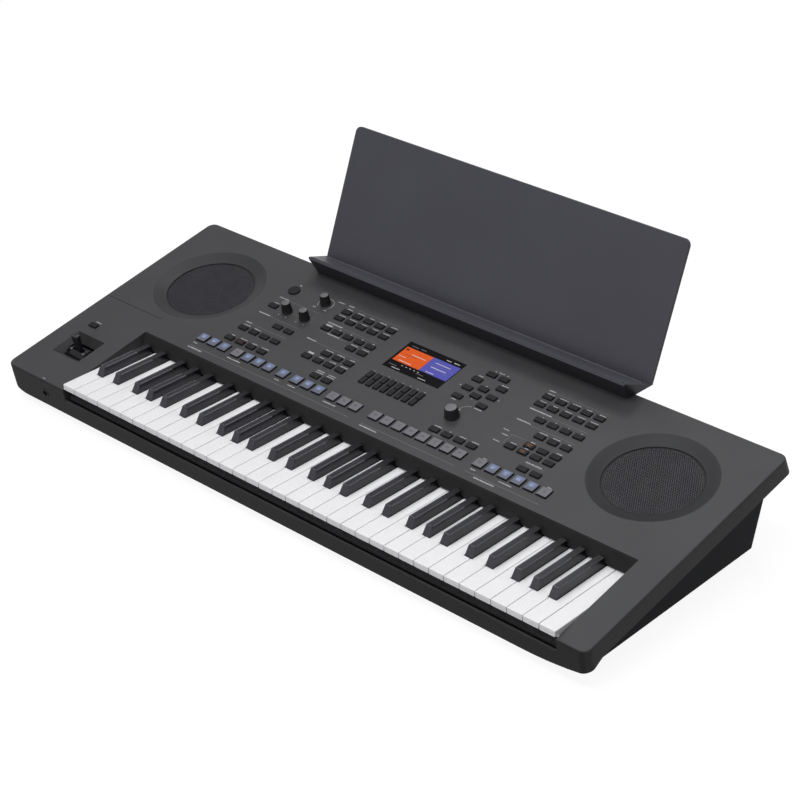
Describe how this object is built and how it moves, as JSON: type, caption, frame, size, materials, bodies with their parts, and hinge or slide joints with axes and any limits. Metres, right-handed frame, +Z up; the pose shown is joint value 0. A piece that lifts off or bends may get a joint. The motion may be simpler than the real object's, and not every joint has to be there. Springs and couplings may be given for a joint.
{
  "type": "arranger keyboard",
  "caption": "Portable arranger keyboard: sloping charcoal panel with a small screen, buttons, knobs and two round speakers, white and black keys in front and a lift-off music rest.",
  "frame": {"origin": "middle of the bounding box at table level", "axes": "+X to the player's right along the keys, +Y from the player to the back, +Z up"},
  "size_m": [1.01, 0.4834, 0.3202],
  "materials": {
    "case_charcoal": "fine satin texture",
    "case_black": "matt",
    "steel": "plain",
    "foot_rubber": "matt",
    "mesh": "perforated, satin black",
    "basket": "black",
    "cone": "pressed",
    "magnet": "plain",
    "screen_gloss": "gloss",
    "module": "plain",
    "board": "plain",
    "felt": "felt",
    "contact_rubber": "matt",
    "socket_black": "matt",
    "stick_black": "satin",
    "button_black": "satin",
    "pad_grey": "translucent grey, lit",
    "knob_black": "satin, grey cap",
    "rest_grey": "fine matt",
    "key_white": "satin gloss",
    "key_black": "satin"
  },
  "bodies": {
    "case": {"case_screws": "steel", "control_pots": "socket_black", "display_module": "module", "display_window": "screen_gloss", "joystick_housing": "socket_black", "key_contact_board": "board", "key_contact_strip": "contact_rubber", "key_felts": "felt", "key_pivot_rod": "steel", "key_springs": "steel", "keybed_frame": "steel", "lower_case": "case_black", "main_board": "board", "panel_boards": "board", "phones_jack": "socket_black", "rear_jack_plate": "socket_black", "rear_sockets": "socket_black", "rubber_feet": "foot_rubber", "speaker_cones": "cone", "speaker_frames": "basket", "speaker_grilles": "mesh", "speaker_magnets": "magnet", "upper_case": "case_charcoal"},
    "black_keys_octave_1": {"black_keys_octave_1": "key_black"},
    "black_keys_octave_2": {"black_keys_octave_2": "key_black"},
    "black_keys_octave_4": {"black_keys_octave_4": "key_black"},
    "black_keys_octave_5": {"black_keys_octave_5": "key_black"},
    "control_knob_left": {"control_knob_left": "knob_black"},
    "control_knob_right": {"control_knob_right": "knob_black"},
    "data_dial": {"data_dial": "knob_black"},
    "hold_button": {"hold_button": "button_black"},
    "joystick_gimbal": {"joystick_gimbal": "stick_black"},
    "joystick_stick": {"joystick_stick": "stick_black"},
    "key_a": {"key_a": "key_white"},
    "key_a_sharp": {"key_a_sharp": "key_black"},
    "key_b": {"key_b": "key_white"},
    "key_c": {"key_c": "key_white"},
    "key_c_sharp": {"key_c_sharp": "key_black"},
    "key_d": {"key_d": "key_white"},
    "key_d_sharp": {"key_d_sharp": "key_black"},
    "key_e": {"key_e": "key_white"},
    "key_f": {"key_f": "key_white"},
    "key_f_sharp": {"key_f_sharp": "key_black"},
    "key_g": {"key_g": "key_white"},
    "key_g_sharp": {"key_g_sharp": "key_black"},
    "left_buttons": {"left_buttons": "button_black"},
    "left_pads": {"left_pads": "pad_grey"},
    "middle_pads": {"middle_pads": "pad_grey"},
    "music_rest": {"music_rest": "rest_grey"},
    "navigation_buttons": {"navigation_buttons": "button_black"},
    "power_button": {"power_button": "button_black"},
    "right_pads": {"right_pads": "pad_grey"},
    "screen_keys": {"screen_keys": "button_black"},
    "style_buttons": {"style_buttons": "button_black"},
    "voice_buttons": {"voice_buttons": "button_black"},
    "volume_knob": {"volume_knob": "knob_black"},
    "white_keys_octave_1": {"white_keys_octave_1": "key_white"},
    "white_keys_octave_2": {"white_keys_octave_2": "key_white"},
    "white_keys_octave_4": {"white_keys_octave_4": "key_white"},
    "white_keys_octave_5": {"white_keys_octave_5": "key_white"}
  },
  "joints": [
    {"name": "black_keys_octave_1_press", "type": "hinge", "parent": "case", "child": "black_keys_octave_1", "pos_m": [-0.3027, -0.04095, 0.057], "axis": [1, 0, 0], "range_deg": [0, 2.87], "stiffness_Nm_per_rad": 3, "springref_deg": -11.46},
    {"name": "black_keys_octave_2_press", "type": "hinge", "parent": "case", "child": "black_keys_octave_2", "pos_m": [-0.1382, -0.04095, 0.057], "axis": [1, 0, 0], "range_deg": [0, 2.87], "stiffness_Nm_per_rad": 3, "springref_deg": -11.46},
    {"name": "black_keys_octave_4_press", "type": "hinge", "parent": "case", "child": "black_keys_octave_4", "pos_m": [0.1908, -0.04095, 0.057], "axis": [1, 0, 0], "range_deg": [0, 2.87], "stiffness_Nm_per_rad": 3, "springref_deg": -11.46},
    {"name": "black_keys_octave_5_press", "type": "hinge", "parent": "case", "child": "black_keys_octave_5", "pos_m": [0.3553, -0.04095, 0.057], "axis": [1, 0, 0], "range_deg": [0, 2.87], "stiffness_Nm_per_rad": 3, "springref_deg": -11.46},
    {"name": "key_a_press", "type": "hinge", "parent": "case", "child": "key_a", "pos_m": [0.07335, -0.04095, 0.057], "axis": [1, 0, 0], "range_deg": [0, 2.87], "stiffness_Nm_per_rad": 0.6, "springref_deg": -11.46},
    {"name": "key_a_sharp_press", "type": "hinge", "parent": "case", "child": "key_a_sharp", "pos_m": [0.0891, -0.04095, 0.057], "axis": [1, 0, 0], "range_deg": [0, 2.87], "stiffness_Nm_per_rad": 0.6, "springref_deg": -11.46},
    {"name": "key_b_press", "type": "hinge", "parent": "case", "child": "key_b", "pos_m": [0.09685, -0.04095, 0.057], "axis": [1, 0, 0], "range_deg": [0, 2.87], "stiffness_Nm_per_rad": 0.6, "springref_deg": -11.46},
    {"name": "key_c_press", "type": "hinge", "parent": "case", "child": "key_c", "pos_m": [-0.04415, -0.04095, 0.057], "axis": [1, 0, 0], "range_deg": [0, 2.87], "stiffness_Nm_per_rad": 0.6, "springref_deg": -11.46},
    {"name": "key_c_sharp_press", "type": "hinge", "parent": "case", "child": "key_c_sharp", "pos_m": [-0.0365, -0.04095, 0.057], "axis": [1, 0, 0], "range_deg": [0, 2.87], "stiffness_Nm_per_rad": 0.6, "springref_deg": -11.46},
    {"name": "key_d_press", "type": "hinge", "parent": "case", "child": "key_d", "pos_m": [-0.02065, -0.04095, 0.057], "axis": [1, 0, 0], "range_deg": [0, 2.87], "stiffness_Nm_per_rad": 0.6, "springref_deg": -11.46},
    {"name": "key_d_sharp_press", "type": "hinge", "parent": "case", "child": "key_d_sharp", "pos_m": [-0.0048, -0.04095, 0.057], "axis": [1, 0, 0], "range_deg": [0, 2.87], "stiffness_Nm_per_rad": 0.6, "springref_deg": -11.46},
    {"name": "key_e_press", "type": "hinge", "parent": "case", "child": "key_e", "pos_m": [0.00285, -0.04095, 0.057], "axis": [1, 0, 0], "range_deg": [0, 2.87], "stiffness_Nm_per_rad": 0.6, "springref_deg": -11.46},
    {"name": "key_f_press", "type": "hinge", "parent": "case", "child": "key_f", "pos_m": [0.02635, -0.04095, 0.057], "axis": [1, 0, 0], "range_deg": [0, 2.87], "stiffness_Nm_per_rad": 0.6, "springref_deg": -11.46},
    {"name": "key_f_sharp_press", "type": "hinge", "parent": "case", "child": "key_f_sharp", "pos_m": [0.0341, -0.04095, 0.057], "axis": [1, 0, 0], "range_deg": [0, 2.87], "stiffness_Nm_per_rad": 0.6, "springref_deg": -11.46},
    {"name": "key_g_press", "type": "hinge", "parent": "case", "child": "key_g", "pos_m": [0.04985, -0.04095, 0.057], "axis": [1, 0, 0], "range_deg": [0, 2.87], "stiffness_Nm_per_rad": 0.6, "springref_deg": -11.46},
    {"name": "key_g_sharp_press", "type": "hinge", "parent": "case", "child": "key_g_sharp", "pos_m": [0.0616, -0.04095, 0.057], "axis": [1, 0, 0], "range_deg": [0, 2.87], "stiffness_Nm_per_rad": 0.6, "springref_deg": -11.46},
    {"name": "white_keys_octave_1_press", "type": "hinge", "parent": "case", "child": "white_keys_octave_1", "pos_m": [-0.30265, -0.04095, 0.057], "axis": [1, 0, 0], "range_deg": [0, 2.87], "stiffness_Nm_per_rad": 4.2, "springref_deg": -11.46},
    {"name": "white_keys_octave_2_press", "type": "hinge", "parent": "case", "child": "white_keys_octave_2", "pos_m": [-0.13815, -0.04095, 0.057], "axis": [1, 0, 0], "range_deg": [0, 2.87], "stiffness_Nm_per_rad": 4.2, "springref_deg": -11.46},
    {"name": "white_keys_octave_4_press", "type": "hinge", "parent": "case", "child": "white_keys_octave_4", "pos_m": [0.19085, -0.04095, 0.057], "axis": [1, 0, 0], "range_deg": [0, 2.87], "stiffness_Nm_per_rad": 4.2, "springref_deg": -11.46},
    {"name": "white_keys_octave_5_press", "type": "hinge", "parent": "case", "child": "white_keys_octave_5", "pos_m": [0.3671, -0.04095, 0.057], "axis": [1, 0, 0], "range_deg": [0, 2.87], "stiffness_Nm_per_rad": 4.8, "springref_deg": -11.46},
    {"name": "left_buttons_press", "type": "slide", "parent": "case", "child": "left_buttons", "axis": [0, -0.1925, 0.9813], "range_m": [-0.0012, 0], "stiffness_N_per_m": 400, "springref_m": 0.003},
    {"name": "style_buttons_press", "type": "slide", "parent": "case", "child": "style_buttons", "axis": [0, -0.1925, 0.9813], "range_m": [-0.0012, 0], "stiffness_N_per_m": 400, "springref_m": 0.003},
    {"name": "voice_buttons_press", "type": "slide", "parent": "case", "child": "voice_buttons", "axis": [0, -0.1925, 0.9813], "range_m": [-0.0012, 0], "stiffness_N_per_m": 400, "springref_m": 0.003},
    {"name": "navigation_buttons_press", "type": "slide", "parent": "case", "child": "navigation_buttons", "axis": [0, -0.1925, 0.9813], "range_m": [-0.0012, 0], "stiffness_N_per_m": 400, "springref_m": 0.003},
    {"name": "screen_keys_press", "type": "slide", "parent": "case", "child": "screen_keys", "axis": [0, -0.1925, 0.9813], "range_m": [-0.0012, 0], "stiffness_N_per_m": 400, "springref_m": 0.003},
    {"name": "left_pads_press", "type": "slide", "parent": "case", "child": "left_pads", "axis": [0, -0.1925, 0.9813], "range_m": [-0.0012, 0], "stiffness_N_per_m": 400, "springref_m": 0.003},
    {"name": "middle_pads_press", "type": "slide", "parent": "case", "child": "middle_pads", "axis": [0, -0.1925, 0.9813], "range_m": [-0.0012, 0], "stiffness_N_per_m": 400, "springref_m": 0.003},
    {"name": "right_pads_press", "type": "slide", "parent": "case", "child": "right_pads", "axis": [0, -0.1925, 0.9813], "range_m": [-0.0012, 0], "stiffness_N_per_m": 400, "springref_m": 0.003},
    {"name": "power_button_press", "type": "slide", "parent": "case", "child": "power_button", "axis": [0, -0.1925, 0.9813], "range_m": [-0.0012, 0], "stiffness_N_per_m": 400, "springref_m": 0.003},
    {"name": "hold_button_press", "type": "slide", "parent": "case", "child": "hold_button", "axis": [0, -0.1925, 0.9813], "range_m": [-0.0012, 0], "stiffness_N_per_m": 400, "springref_m": 0.003},
    {"name": "volume_knob_turn", "type": "hinge", "parent": "case", "child": "volume_knob", "pos_m": [-0.2093, 0.08913, 0.1194], "axis": [0, -0.1925, 0.9813], "range_deg": [-150, 150]},
    {"name": "control_knob_left_turn", "type": "hinge", "parent": "case", "child": "control_knob_left", "pos_m": [-0.2439, 0.04792, 0.11131], "axis": [0, -0.1925, 0.9813], "range_deg": [-150, 150]},
    {"name": "control_knob_right_turn", "type": "hinge", "parent": "case", "child": "control_knob_right", "pos_m": [-0.2102, 0.04792, 0.11131], "axis": [0, -0.1925, 0.9813], "range_deg": [-150, 150]},
    {"name": "data_dial_turn", "type": "hinge", "parent": "case", "child": "data_dial", "pos_m": [0.1043, -0.00468, 0.10099], "axis": [0, -0.1925, 0.9813], "continuous": true},
    {"name": "joystick_roll", "type": "hinge", "parent": "case", "child": "joystick_gimbal", "pos_m": [-0.4439, -0.1598, 0.0512], "axis": [1, 0, 0], "range_deg": [-20, 20], "stiffness_Nm_per_rad": 0.25},
    {"name": "joystick_swing", "type": "hinge", "parent": "joystick_gimbal", "child": "joystick_stick", "pos_m": [-0.4439, -0.1598, 0.0512], "axis": [0, 0.9813, 0.1925], "range_deg": [-20, 20], "stiffness_Nm_per_rad": 0.15},
    {"name": "music_rest_lift", "type": "slide", "parent": "case", "child": "music_rest", "axis": [0, -0.1925, 0.9813], "range_m": [0, 0.05]}
  ]
}
